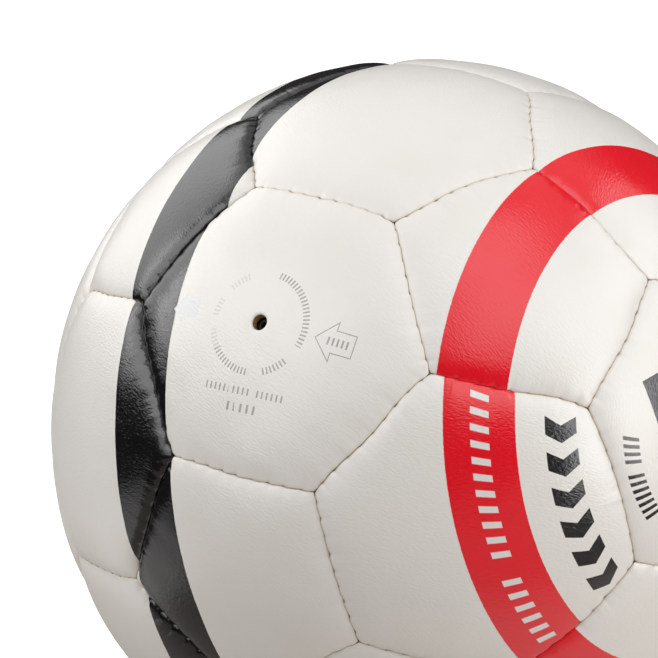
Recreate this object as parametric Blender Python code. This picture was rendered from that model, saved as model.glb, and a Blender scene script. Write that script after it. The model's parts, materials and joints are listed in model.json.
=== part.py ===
"""A hand-stitched futsal ball: thirty-two laminated panels, their stitching, a damped bladder and a valve.

Frame: origin at the ball's centre. +X is the axis of the printed rings, through the middle of a
hexagon; +Z is a two-fold axis of the panel pattern, through the middle of a seam between two hexagons.
"""

import math

import bmesh
import bpy
from mathutils import Vector

MM = 0.001

# The ball
BALL_CIRCUMFERENCE = 620 * MM
BALL_RADIUS = BALL_CIRCUMFERENCE / (2 * math.pi)

# A panel: a curved tray whose edges are turned in, to be stitched to the turned edges next to them
SEAM_SEGMENTS = 3  # straight stretches along one seam
HALF_GAP = 0.16 * MM  # from a seam's middle to the turned edge
PANEL_THICKNESS = 2.6 * MM
LIP_DEPTH = 1.9 * MM  # the seam's bottom, below the crown
SHOULDER_INSET = 2.4 * MM
SHOULDER_DEPTH = 0.5 * MM
CROWN_INSET = 12 * MM
FLANGE_THICKNESS = 1.6 * MM
FLANGE_HEIGHT = 5.5 * MM
FLANGE_ROOT_DEPTH = 3.8 * MM  # where the turned edge meets the panel's inner face

# The thread that lies in the seams, a diamond in section
THREAD_HALF_WIDTH = 0.42 * MM
THREAD_HALF_HEIGHT = 0.35 * MM
THREAD_DEPTH = 1.05 * MM
THREAD_END_GAP = 1.2 * MM  # from the end of one thread to the corner that another turns round

# The valve, beside the middle of one hexagon; depths are below the crown
VALVE_TOWARDS_RINGS = -2.8 * MM  # from the hexagon's middle along the surface towards +X
VALVE_UPWARDS = 1.5 * MM  # and square to that, upwards
PANEL_HOLE_RADIUS = 1.95 * MM
CORE_RADIUS = 1.5 * MM
CORE_HEAD_RADIUS = 1.6 * MM
CORE_HEAD_HEIGHT = 1.6 * MM
CORE_CHAMFER = 0.3 * MM
CORE_TOP_DEPTH = 2.9 * MM
CORE_LENGTH = 21 * MM
CORE_TIP_RADIUS = 0.9 * MM
CORE_TAPER = 3 * MM
CORE_TIP_GAP = 0.5 * MM
NEEDLE_DIMPLE_RADIUS = 0.8 * MM
NEEDLE_DIMPLE_DEPTH = 3.5 * MM
BORE_RADIUS = 1.9 * MM
AIR_HOLE_RADIUS = 0.7 * MM
COLLAR_RADIUS = 5.5 * MM
COLLAR_TOP_DEPTH = 3.6 * MM
VALVE_DISC_RADIUS = 12 * MM
VALVE_DISC_TOP_DEPTH = 6.7 * MM
VALVE_DISC_BOTTOM_DEPTH = 7.9 * MM
STEM_RADIUS = 3.5 * MM
STEM_TIP_RADIUS = 2.5 * MM
STEM_TAPER = 4 * MM
STEM_BOTTOM_DEPTH = 27 * MM
PATCH_INNER_RADIUS = 6.2 * MM
PATCH_OUTER_RADIUS = 13 * MM
PATCH_THICKNESS = 0.6 * MM
PATCH_INNER_DEPTH = 3.9 * MM
PATCH_OUTER_DEPTH = 4.6 * MM

# Inside the cover
BLADDER_RADIUS = 90.4 * MM
BLADDER_THICKNESS = 0.8 * MM
BLADDER_HOLE_RADIUS = 4.0 * MM
BLADDER_SIDES = 20
BLADDER_STEPS = 11
LINING_RADIUS = 87.2 * MM
LINING_THICKNESS = 3 * MM
LINING_HOLE_RADIUS = 7 * MM
LINING_SIDES = 16
LINING_STEPS = 9
BALANCE_RADIUS = 15 * MM
BALANCE_THICKNESS = 1.2 * MM
BALANCE_CLEARANCE = 0.4 * MM
TURNED_SIDES = 20

# Materials: colour, roughness
COVER_FINISH = ((0.80, 0.79, 0.76), 0.45)
THREAD_FINISH = ((0.30, 0.25, 0.20), 0.80)
BLADDER_FINISH = ((0.03, 0.03, 0.03), 0.55)
VALVE_FINISH = ((0.05, 0.045, 0.04), 0.50)
CORE_FINISH = ((0.06, 0.05, 0.035), 0.50)
LINING_FINISH = ((0.72, 0.68, 0.55), 0.95)
PATCH_FINISH = ((0.55, 0.42, 0.22), 0.85)


def clear_scene():
    for obj in list(bpy.data.objects):
        bpy.data.objects.remove(obj, do_unlink=True)


def make_material(name, finish):
    colour, roughness = finish
    material = bpy.data.materials.new(name)
    material.use_nodes = True
    shader = material.node_tree.nodes["Principled BSDF"]
    shader.inputs["Base Color"].default_value = (*colour, 1)
    shader.inputs["Roughness"].default_value = roughness
    shader.inputs["Metallic"].default_value = 0
    return material


def add_object(name, bm, finish, smooth_angle=40):
    """One named object from a bmesh, shaded smooth except at sharp corners."""
    mesh = bpy.data.meshes.new(name)
    bm.to_mesh(mesh)
    bm.free()
    mesh.materials.append(make_material(name, finish))
    mesh.shade_smooth()
    mesh.set_sharp_from_angle(angle=math.radians(smooth_angle))
    obj = bpy.data.objects.new(name, mesh)
    bpy.context.scene.collection.objects.link(obj)
    return obj


# ---------------------------------------------------------------- the pattern of panels


def pentagon_directions():
    """The twelve pentagons' middles, as four rings of three about +X."""
    outer = math.acos(math.sqrt((5 + 2 * math.sqrt(5)) / 15))
    inner = math.acos(math.sqrt((5 - 2 * math.sqrt(5)) / 15))
    found = []
    for polar, first in ((outer, 0), (inner, 60), (math.pi - inner, 0), (math.pi - outer, 60)):
        for k in range(3):
            turn = math.radians(first + 120 * k)
            around = math.sin(polar)
            found.append(Vector((math.cos(polar), around * math.cos(turn), around * math.sin(turn))))
    return found


def neighbours(directions):
    """Pairs of pentagons that one hexagon edge joins."""
    count = len(directions)
    return [
        (a, b)
        for a in range(count)
        for b in range(a + 1, count)
        if directions[a].dot(directions[b]) > 0.4
    ]


def hexagon_directions(pentagons):
    """The twenty hexagons' middles: each lies between three pentagons."""
    pairs = set(neighbours(pentagons))
    found = []
    for a, b in sorted(pairs):
        for c in range(b + 1, len(pentagons)):
            if (a, c) in pairs and (b, c) in pairs:
                found.append((pentagons[a] + pentagons[b] + pentagons[c]).normalized())
    return found


def corner_directions(pentagons):
    """The sixty corners: two on each line between neighbouring pentagons, at its thirds."""
    found = []
    for a, b in neighbours(pentagons):
        for first, second in ((a, b), (b, a)):
            found.append((2 * pentagons[first] + pentagons[second]).normalized())
    return found


def ordered_corners(middle, corners, sides):
    """A panel's own corners, counter-clockwise seen from outside."""
    nearest = sorted(corners, key=lambda corner: -corner.dot(middle))[:sides]
    across = (nearest[0] - middle * nearest[0].dot(middle)).normalized()
    along = middle.cross(across)
    return sorted(nearest, key=lambda corner: math.atan2(corner.dot(along), corner.dot(across)))


class Panel:
    """A panel's place on the ball, seen in central projection on the plane that touches its middle."""

    def __init__(self, name, middle, corners):
        self.name = name
        self.middle = middle
        self.flat_corners = [corner / corner.dot(middle) - middle for corner in corners]
        first, second = self.flat_corners[:2]
        self.apothem = math.atan(((first + second) / 2).length)
        self.sides = len(corners)

    def corner(self, index, inset):
        """The direction of a corner moved in by the inset, a length on the ball's surface."""
        shrunk = math.tan(self.apothem - inset / BALL_RADIUS) / math.tan(self.apothem)
        return self.flat_corners[index % self.sides] * shrunk + self.middle

    def ring(self, inset, depth):
        """Points round the panel at one distance from its edge and one depth below the crown."""
        points = []
        for side in range(self.sides):
            start, end = self.corner(side, inset), self.corner(side + 1, inset)
            for step in range(SEAM_SEGMENTS):
                direction = start.lerp(end, step / SEAM_SEGMENTS).normalized()
                points.append(direction * (BALL_RADIUS - depth))
        return points

    def hole_ring(self, axis, radius, depth):
        """A circle round a hole's axis, with one point towards each point of the edge."""
        points = []
        for edge_point in self.ring(0, 0):
            outward = (edge_point - axis * edge_point.dot(axis)).normalized()
            points.append(axis * (BALL_RADIUS - depth) + outward * radius)
        return points


def from_the_top(direction):
    """Sorts panels from the top of the ball down, and from +X to -X at one height."""
    return (-round(direction.z, 3), -round(direction.x, 3), round(direction.y, 3))


def all_panels():
    """The panels, the valve's first, and the corners that they share."""
    pentagons = pentagon_directions()
    corners = corner_directions(pentagons)
    hexagons = sorted(hexagon_directions(pentagons), key=from_the_top)
    upper_front = Vector((1, -math.sqrt(5), math.sqrt(3)))
    valve_middle = max(hexagons, key=lambda direction: direction.dot(upper_front))
    others = [middle for middle in hexagons if middle != valve_middle]
    panels = [Panel("valve_panel", valve_middle, ordered_corners(valve_middle, corners, 6))]
    for number, middle in enumerate(others, 1):
        panels.append(Panel(f"hexagon_panel_{number:02d}", middle, ordered_corners(middle, corners, 6)))
    for number, middle in enumerate(sorted(pentagons, key=from_the_top), 1):
        panels.append(Panel(f"pentagon_panel_{number:02d}", middle, ordered_corners(middle, corners, 5)))
    return panels, corners


def valve_axis_through(panel_middle):
    """The valve's own axis, a little off its panel's middle."""
    towards_rings = (Vector((1, 0, 0)) - panel_middle * panel_middle.x).normalized()
    upwards = panel_middle.cross(towards_rings)
    offset = towards_rings * VALVE_TOWARDS_RINGS + upwards * VALVE_UPWARDS
    return (panel_middle * BALL_RADIUS + offset).normalized()


def bridge(bm, lower, upper):
    """Quads between two closed rings of the same number of vertices."""
    for i in range(len(lower)):
        j = (i + 1) % len(lower)
        bm.faces.new((lower[i], lower[j], upper[j], upper[i]))


def fan(bm, ring, tip, outward):
    for i in range(len(ring)):
        j = (i + 1) % len(ring)
        bm.faces.new((ring[i], ring[j], tip) if outward else (ring[j], ring[i], tip))


def build_panel(panel, hole_axis=None):
    """The tray: crown, shoulder, turned edge and inner face, with a round hole for the valve if asked."""
    bm = bmesh.new()
    wall_inset = HALF_GAP + FLANGE_THICKNESS
    rings = [
        panel.ring(CROWN_INSET, PANEL_THICKNESS),
        panel.ring(wall_inset, FLANGE_ROOT_DEPTH),
        panel.ring(wall_inset, LIP_DEPTH + FLANGE_HEIGHT),
        panel.ring(HALF_GAP, LIP_DEPTH + FLANGE_HEIGHT),
        panel.ring(HALF_GAP, LIP_DEPTH),
        panel.ring(SHOULDER_INSET, SHOULDER_DEPTH),
        panel.ring(CROWN_INSET, 0),
    ]
    if hole_axis:
        rings.insert(0, panel.hole_ring(hole_axis, PANEL_HOLE_RADIUS, PANEL_THICKNESS))
        rings.append(panel.hole_ring(hole_axis, PANEL_HOLE_RADIUS, 0))
    made = [[bm.verts.new(point) for point in ring] for ring in rings]
    for lower, upper in zip(made, made[1:]):
        bridge(bm, lower, upper)
    if hole_axis:
        bridge(bm, made[-1], made[0])
    else:
        inner_tip = bm.verts.new(panel.middle * (BALL_RADIUS - PANEL_THICKNESS))
        outer_tip = bm.verts.new(panel.middle * BALL_RADIUS)
        fan(bm, made[0], inner_tip, outward=False)
        fan(bm, made[-1], outer_tip, outward=True)
    add_object(panel.name, bm, COVER_FINISH)


# ---------------------------------------------------------------- stitching


def seam_name(sides, pole):
    """Which of the three threads closes a seam: one for each half of the cover, and one that joins them."""
    heights = [panel.middle.dot(pole) for panel in sides]
    if min(heights) > 0:
        return "first_half_thread"
    return "second_half_thread" if max(heights) < 0 else "joining_thread"


class Thread:
    """One connected thread. Where three seams meet its stretches share their end points."""

    def __init__(self):
        self.bm = bmesh.new()
        self.made = {}

    def vertex(self, key, direction, height):
        if key not in self.made:
            self.made[key] = self.bm.verts.new(direction * (BALL_RADIUS - THREAD_DEPTH + height))
        return self.made[key]


def side_direction(middle, towards):
    """The direction of a point beside the seam's middle line, at the thread's half width."""
    across = (towards - middle * towards.dot(middle)).normalized()
    return (middle + across * (THREAD_HALF_WIDTH / BALL_RADIUS)).normalized()


def build_threads(corners, panels, pole):
    """Three threads along the ninety seams, each a diamond tube that forks at the corners."""
    panels_at = [[p for p in panels if on_panel(p, corner)] for corner in corners]
    seams = [
        (a, b)
        for a in range(len(corners))
        for b in range(a + 1, len(corners))
        if len(shared_panels((a, b), panels_at)) == 2
    ]
    names = {seam: seam_name(shared_panels(seam, panels_at), pole) for seam in seams}
    owner = []
    for corner in range(len(corners)):
        owner.append(corner_owner([names[seam] for seam in seams if corner in seam]))
    threads = {name: Thread() for name in sorted(set(names.values()))}
    for seam, name in names.items():
        lay_stretch(threads[name], name, seam, corners, panels_at, owner)
    for corner, name in enumerate(owner):
        for seam in seams:
            if corner in seam and names[seam] != name:
                fork_end = corner_points(threads[name], corner, seam, corners, panels_at)
                threads[name].bm.faces.new(fork_end)
    for name, thread in threads.items():
        bmesh.ops.recalc_face_normals(thread.bm, faces=thread.bm.faces)
        add_object(name, thread.bm, THREAD_FINISH)


def shared_panels(seam, panels_at):
    return [panel for panel in panels_at[seam[0]] if panel in panels_at[seam[1]]]


def on_panel(panel, corner):
    return any((flat + panel.middle).normalized().dot(corner) > 0.9999 for flat in panel.flat_corners)


def corner_owner(seam_names):
    """The thread that turns round a corner: the joining one wherever it passes."""
    return "joining_thread" if "joining_thread" in seam_names else seam_names[0]


def corner_points(thread, corner, seam, corners, panels_at):
    """The four points of a stretch's section at a corner that the thread shares with other stretches."""
    here = corners[corner]
    beside = []
    for panel in shared_panels(seam, panels_at):
        direction = panel.corner(nearest_corner(panel, here), THREAD_HALF_WIDTH).normalized()
        beside.append(thread.vertex((corner, panel.name), direction, 0))
    top = thread.vertex((corner, "top"), here, THREAD_HALF_HEIGHT)
    bottom = thread.vertex((corner, "bottom"), here, -THREAD_HALF_HEIGHT)
    return [top, beside[0], bottom, beside[1]]


def nearest_corner(panel, direction):
    flat = panel.flat_corners
    return max(range(panel.sides), key=lambda i: (flat[i] + panel.middle).normalized().dot(direction))


def free_points(thread, key, direction, sides):
    """The four points of a section anywhere else on a seam: top, one side, bottom, the other side."""
    return [
        thread.vertex((key, "top"), direction, THREAD_HALF_HEIGHT),
        thread.vertex((key, sides[0].name), side_direction(direction, sides[0].middle), 0),
        thread.vertex((key, "bottom"), direction, -THREAD_HALF_HEIGHT),
        thread.vertex((key, sides[1].name), side_direction(direction, sides[1].middle), 0),
    ]


def lay_stretch(thread, name, seam, corners, panels_at, owner):
    """The thread along one seam, ending short of a corner that another thread turns round."""
    start, end = corners[seam[0]], corners[seam[1]]
    sides = shared_panels(seam, panels_at)
    sections = []
    for step in range(SEAM_SEGMENTS + 1):
        direction = start.lerp(end, step / SEAM_SEGMENTS).normalized()
        corner = {0: seam[0], SEAM_SEGMENTS: seam[1]}.get(step)
        if corner is None:
            sections.append(free_points(thread, (seam, step), direction, sides))
        elif owner[corner] == name:
            sections.append(corner_points(thread, corner, seam, corners, panels_at))
        else:
            inward = (end if corner == seam[0] else start) - direction
            direction = (direction + inward.normalized() * (THREAD_END_GAP / BALL_RADIUS)).normalized()
            sections.append(free_points(thread, (seam, step), direction, sides))
            thread.bm.faces.new(sections[-1])
    for first, second in zip(sections, sections[1:]):
        bridge(thread.bm, first, second)


# ---------------------------------------------------------------- turned pieces


def turned(name, profile, axis, finish, sides, origin_height=0):
    """A piece turned about the given axis, from a closed outline of (radius, height) points.

    The outline runs counter-clockwise with the radius to the right and the height up. The object's
    origin is on its axis, and its own Z is that axis.
    """
    bm = bmesh.new()
    columns = []
    for radius, height in profile:
        if radius == 0:
            columns.append([bm.verts.new((0, 0, height - origin_height))])
            continue
        turns = [2 * math.pi * side / sides for side in range(sides)]
        points = [(radius * math.cos(t), radius * math.sin(t), height - origin_height) for t in turns]
        columns.append([bm.verts.new(point) for point in points])
    for lower, upper in zip(columns, columns[1:] + columns[:1]):
        if len(lower) == 1 and len(upper) == 1:
            continue
        if len(lower) == 1:
            fan(bm, upper, lower[0], outward=False)
        elif len(upper) == 1:
            fan(bm, lower, upper[0], outward=True)
        else:
            bridge(bm, lower, upper)
    obj = add_object(name, bm, finish)
    obj.location = axis * origin_height
    obj.rotation_euler = axis.to_track_quat("Z", "Y").to_euler()


def shell_profile(outer_radius, inner_radius, hole_radius, steps):
    """The outline of a hollow ball with a round hole at the top."""
    outline = []
    for radius, direction in ((outer_radius, 1), (inner_radius, -1)):
        top = math.asin(hole_radius / radius)
        angles = [math.pi + (top - math.pi) * step / steps for step in range(steps + 1)]
        for angle in angles[::direction]:
            around = 0 if angle == math.pi else radius * math.sin(angle)
            outline.append((around, radius * math.cos(angle)))
    return outline


def build_bladder(axis):
    inner = BLADDER_RADIUS - BLADDER_THICKNESS
    outline = shell_profile(BLADDER_RADIUS, inner, BLADDER_HOLE_RADIUS, BLADDER_STEPS)
    turned("bladder", outline, axis, BLADDER_FINISH, BLADDER_SIDES)


def build_damping_lining(axis):
    """The layer inside the bladder that keeps the bounce low."""
    inner = LINING_RADIUS - LINING_THICKNESS
    outline = shell_profile(LINING_RADIUS, inner, LINING_HOLE_RADIUS, LINING_STEPS)
    turned("damping_lining", outline, axis, LINING_FINISH, LINING_SIDES)


def build_valve_housing(axis):
    """The moulded rubber seat: a disc bonded on the bladder, a collar up to the panel, a stem inwards."""
    collar_top = BALL_RADIUS - COLLAR_TOP_DEPTH
    disc_top = BALL_RADIUS - VALVE_DISC_TOP_DEPTH
    disc_bottom = BALL_RADIUS - VALVE_DISC_BOTTOM_DEPTH
    stem_bottom = BALL_RADIUS - STEM_BOTTOM_DEPTH
    bore_bottom = BALL_RADIUS - CORE_TOP_DEPTH - CORE_LENGTH - CORE_TIP_GAP
    outline = [
        (AIR_HOLE_RADIUS, stem_bottom),
        (STEM_TIP_RADIUS, stem_bottom),
        (STEM_RADIUS, stem_bottom + STEM_TAPER),
        (STEM_RADIUS, disc_bottom),
        (VALVE_DISC_RADIUS, disc_bottom),
        (VALVE_DISC_RADIUS, disc_top),
        (COLLAR_RADIUS, disc_top),
        (COLLAR_RADIUS, collar_top),
        (BORE_RADIUS, collar_top),
        (BORE_RADIUS, bore_bottom + BORE_RADIUS - AIR_HOLE_RADIUS),
        (AIR_HOLE_RADIUS, bore_bottom),
    ]
    turned("valve_housing", outline, axis, VALVE_FINISH, TURNED_SIDES)


def build_valve_core(axis):
    """The plug that holds the air. It pulls straight out, so that a new one can go in."""
    top = BALL_RADIUS - CORE_TOP_DEPTH
    bottom = top - CORE_LENGTH
    outline = [
        (0, bottom),
        (CORE_TIP_RADIUS, bottom),
        (CORE_RADIUS, bottom + CORE_TAPER),
        (CORE_RADIUS, top - CORE_HEAD_HEIGHT - CORE_CHAMFER),
        (CORE_HEAD_RADIUS, top - CORE_HEAD_HEIGHT),
        (CORE_HEAD_RADIUS, top - CORE_CHAMFER),
        (CORE_HEAD_RADIUS - CORE_CHAMFER, top),
        (NEEDLE_DIMPLE_RADIUS, top),
        (NEEDLE_DIMPLE_RADIUS / 2, top - NEEDLE_DIMPLE_DEPTH / 2),
        (0, top - NEEDLE_DIMPLE_DEPTH),
    ]
    turned("valve_core", outline, axis, CORE_FINISH, TURNED_SIDES, origin_height=top)


def build_valve_patch(axis):
    """The ring that stiffens the panel round the valve, glued under it."""
    inner_top = BALL_RADIUS - PATCH_INNER_DEPTH
    outer_top = BALL_RADIUS - PATCH_OUTER_DEPTH
    outline = [
        (PATCH_INNER_RADIUS, inner_top - PATCH_THICKNESS),
        (PATCH_OUTER_RADIUS, outer_top - PATCH_THICKNESS),
        (PATCH_OUTER_RADIUS, outer_top),
        (PATCH_INNER_RADIUS, inner_top),
    ]
    turned("valve_patch", outline, axis, PATCH_FINISH, TURNED_SIDES)


def build_balance_patch(axis):
    """The weight glued on the bladder opposite the valve, so that the ball rolls straight."""
    low = BLADDER_RADIUS + BALANCE_CLEARANCE
    high = low + BALANCE_THICKNESS
    outline = [(0, low), (BALANCE_RADIUS, low), (BALANCE_RADIUS, high), (0, high)]
    turned("balance_patch", outline, -axis, VALVE_FINISH, TURNED_SIDES)


def main():
    clear_scene()
    panels, corners = all_panels()
    valve_axis = valve_axis_through(panels[0].middle)
    for panel in panels:
        build_panel(panel, valve_axis if panel.name == "valve_panel" else None)
    above_valve = valve_axis + Vector((0, 0, 1))
    pole = max(pentagon_directions(), key=lambda direction: direction.dot(above_valve))
    build_threads(corners, panels, pole)
    build_bladder(valve_axis)
    build_damping_lining(valve_axis)
    build_valve_housing(valve_axis)
    build_valve_core(valve_axis)
    build_valve_patch(valve_axis)
    build_balance_patch(valve_axis)


main()
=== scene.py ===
"""Looks for a hand-stitched futsal ball: leather-grained panels, their seams and print, thread and valve.

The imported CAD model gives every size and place. Each CAD node is replaced by a fine mesh in the same
place: the panels get turned-in edges drawn together at every stitch, and the thread is laid in the seams.
Lengths on the ball are in millimetres here, and meshes are made in metres.
"""

import json
import math

import bpy
import numpy as np
from mathutils import Matrix, Quaternion, Vector


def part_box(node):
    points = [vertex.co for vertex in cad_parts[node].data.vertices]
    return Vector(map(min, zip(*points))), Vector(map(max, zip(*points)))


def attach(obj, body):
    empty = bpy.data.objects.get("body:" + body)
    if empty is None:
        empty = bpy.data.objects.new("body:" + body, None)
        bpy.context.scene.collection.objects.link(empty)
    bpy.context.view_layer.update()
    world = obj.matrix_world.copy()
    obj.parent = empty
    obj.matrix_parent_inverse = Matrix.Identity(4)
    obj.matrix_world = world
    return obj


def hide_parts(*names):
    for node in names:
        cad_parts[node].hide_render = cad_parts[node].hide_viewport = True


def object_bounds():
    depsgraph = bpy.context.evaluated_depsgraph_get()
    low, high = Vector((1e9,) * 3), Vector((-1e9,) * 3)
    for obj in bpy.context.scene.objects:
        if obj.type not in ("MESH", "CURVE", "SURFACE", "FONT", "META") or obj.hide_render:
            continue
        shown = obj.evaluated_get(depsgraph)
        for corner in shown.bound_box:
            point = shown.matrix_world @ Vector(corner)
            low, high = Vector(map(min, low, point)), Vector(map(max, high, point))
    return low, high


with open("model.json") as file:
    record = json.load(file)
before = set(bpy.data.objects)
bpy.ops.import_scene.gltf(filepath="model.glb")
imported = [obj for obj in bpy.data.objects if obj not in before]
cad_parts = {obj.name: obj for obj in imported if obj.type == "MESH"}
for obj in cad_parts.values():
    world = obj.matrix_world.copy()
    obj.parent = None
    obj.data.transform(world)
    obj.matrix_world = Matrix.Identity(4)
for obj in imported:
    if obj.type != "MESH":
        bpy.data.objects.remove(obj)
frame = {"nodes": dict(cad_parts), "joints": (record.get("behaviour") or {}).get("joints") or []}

CAD_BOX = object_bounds()
MM = 0.001
BALL_RADIUS = CAD_BOX[1].x / MM
BODY = "ball"
CORE_BODY = "valve_core"

# Where a panel meets the seam, in mm: the crown falls away to the seam in three overlapping curves
LIP_FALL, LIP_REACH = 0.16, 0.18
SHOULDER_FALL, SHOULDER_REACH = 1.05, 3.6
CROWN_FALL, CROWN_REACH = 0.25, 9.0
VALVE_LIP_RISE, VALVE_LIP_REACH = 0.3, 1.2  # the patched valve panel stands above its neighbours
DEEP_FALL, DEEP_REACH = 0.62, 1.3  # more, at the seams under the black band
DEEP_BAND = 9  # degrees from the band's middle
CORNER_BLEND = 2.6  # power with which the falls of two sides meet at a corner
HALF_GAP = 0.007
STEP_GAP = 0.13  # extra half gap just past each stitch
STEP_GAP_PLACE, STEP_GAP_WIDTH = 0.10, 0.15  # of one pitch
GAP_REACH = 1.1
CORNER_CUT = 0.16
CORNER_CUT_REACH = 1.0

# Stitching, in mm
STITCHES = 9
STITCH_PITCH, STITCH_JITTER = 4.3, 0.25
PULL = (0.55, 1.3)  # how strongly the weakest and the strongest stitch are drawn
STITCH_WIDTH = 0.16  # of one pitch
STITCH_STEP = 0.17  # sideways jump of the seam line at each stitch
STEP_WIDTH = 0.09  # of one pitch
STITCH_DENT = 0.20
STITCH_DENT_REACH = 1.5
SEAM_SWAY = 0.28, 0.28 / 1.3, 0.28 / 1.6  # of a half, a whole and one and a half waves to a seam
SWAY_REACH = 5.0
SEAM_END_FADE = 3.0
STRAY_CORNERS = (  # corners that the photograph shows out of place: regular direction, shift in mm
    ((0.16, -0.49, 0.86), (-1.9, 1.5, 1.2)),
    ((-0.07, -0.75, 0.65), (-2.5, 1.2, 1.0)),
    ((0.92, -0.35, -0.20), (0.2, 1.6, -1.6)),
    ((0.45, 0.26, 0.86), (0.7, 1.1, -0.7)),
    ((0.54, -0.42, 0.73), (-0.8, -0.5, 0.3)),
)
STRAY_REACH = 14.0
STRAY_BLEND = 4.0  # reach over which the strays of two sides mix
SHOULDER_WAVE = 0.10
WAVE_LENGTHS = (9.0, 5.7, 14.0)
THREAD_RADIUS = 0.22
THREAD_SWING = 0.13
THREAD_LOW, THREAD_HIGH = 0.60, 0.30  # below the lips, between stitches and at them
THREAD_PINCH = 0.2  # of one pitch
THREAD_SIDES = 6
THREAD_STEPS_PER_STITCH = 8
THREAD_END = 0.8

# The rest of a panel's section, in mm
FLANGE_DEPTH = 7.4
FLANGE_WIDTH = 1.6
PANEL_THICKNESS = 2.6
ROOT_DEPTH, BACK_REACH = 3.8, 3.0  # the back rises to its full depth at the flange
CHANNEL = ((0.0, 0.18), (0.26, 0.5), (0.30, 0.9), (0.06, 1.35))  # inset and drop under the lip
UNEVENNESS = 0.07
SWELLS = (60, 45, 32, 24, 18)  # wavelengths of the unevenness

# Rings of points from the edge inwards: insets in mm for each number of points on a side
EDGE_POINTS = 80
OUTER_RINGS = (
    (EDGE_POINTS, (0, 0.12, 0.27, 0.45, 0.68, 0.95, 1.3, 1.75, 2.3, 3.0, 3.9, 5.0)),
    (40, (6.4, 8.2, 10.5)),
    (20, (13, 16)),
    (10, (19.5, 23)),
    (5, (27, 31)),
)
INNER_RINGS = ((5, 40), (8, 20), (12, 10), (18, 5))  # at the back: inset in mm, points on a side
CENTRE_CLEARANCE = 3.0  # no ring comes closer than this to a panel's middle

# The valve hole in the cover, in mm
HOLE_RADIUS = 1.95
RIM_RADIUS = 0.35
RIM_STEPS = 5
HOLE_SINK, HOLE_SINK_REACH = 0.12, 0.6
HOLE_FIELD = 9.0  # the rings of points are round from here in
HOLE_FIELD_RADII = (HOLE_FIELD, 6.5, 5.0, 4.0, 3.3, 2.9, 2.6)
HOLE_BLEND = (0.3, 0.6, 0.85)  # how round the rings just outside it are
HOLE_RING = (16, 20)  # the ring of the panel that those rings follow
HOLE_BACK = 3.0  # width of the flat ring behind the hole
HOLE_WALL = ((0.75, 0.0), (0.8, 0.07), (1.35, 0.10), (1.4, 0.02), (2.2, 0.05))  # depth, and extra radius

# Print. Bands and marks are in degrees from the ring axis; sizes on the valve's panel are in mm
RED_INNER, RED_OUTER = 36.2, 46.2
BLACK_BAND = 86.0, 97.6
WIDE_BAND = 84.8, 98.2  # the same band is wider on one pentagon, whose middle is below
WIDE_BAND_PANEL = (-0.187, -0.491, 0.851)
VALVE_BAND = 86.8, 98.3  # and slipped on the valve's panel
PRINT_SHIFT = 0.12  # how far the print of one panel may miss its neighbour's, in degrees
SLIPPED_PANEL = (math.sqrt(5) / 3, -2 / 3, 0)  # the middle of the panel whose print slipped most
PRINT_SLIP = 1.5  # degrees towards the ring axis
PRINT_EDGE = 0.05  # degrees over which a band's edge fades

# Grain, in mm, and its slant on each panel in degrees
GRAIN_LENGTH, GRAIN_WIDTH = 1.25, 0.52
GRAIN_ANGLE, GRAIN_SPREAD = -32, 9
GRAIN_HEIGHT, CREASE_HEIGHT = 0.075, 0.09
GRAIN_JUMP = 37.0  # from one panel to the next, so that none repeats another's grain
CREASE_CORNER = 5.0  # creases fade where a second seam is nearly as near

SEAM_SEED, PANEL_SEED = 1000, 2000


# ---------------- the pattern of panels


def unit(vectors):
    return vectors / np.linalg.norm(vectors, axis=-1, keepdims=True)


def same(first, second):
    """Whether two directions are one place of the pattern, apart from rounding."""
    return float(unit(np.array(first)) @ second) > 0.999


def smooth(part):
    """0 below 0, 1 above 1, and an S-curve in between."""
    t = np.clip(part, 0, 1)
    return t * t * (3 - 2 * t)


def pentagon_directions():
    """The twelve pentagons' middles, as four rings of three about +X."""
    outer = math.acos(math.sqrt((5 + 2 * math.sqrt(5)) / 15))
    inner = math.acos(math.sqrt((5 - 2 * math.sqrt(5)) / 15))
    found = []
    for polar, first in ((outer, 0), (inner, 60), (math.pi - inner, 0), (math.pi - outer, 60)):
        for k in range(3):
            turn = math.radians(first + 120 * k)
            around = math.sin(polar)
            found.append((math.cos(polar), around * math.cos(turn), around * math.sin(turn)))
    return np.array(found)


def panel_pattern():
    """Middles of the thirty-two panels and the sixty corners, as directions."""
    pentagons = pentagon_directions()
    near = pentagons @ pentagons.T > 0.4  # neighbours are 63 degrees apart, others 117 or more
    hexagons, corners = [], []
    for a in range(12):
        for b in range(12):
            if a == b or not near[a, b]:
                continue
            corners.append(unit(2 * pentagons[a] + pentagons[b]))
            for c in range(b + 1, 12):
                if a < b and near[a, c] and near[b, c]:
                    hexagons.append(unit(pentagons[a] + pentagons[b] + pentagons[c]))
    return np.array(hexagons), pentagons, np.array(corners)


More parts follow.
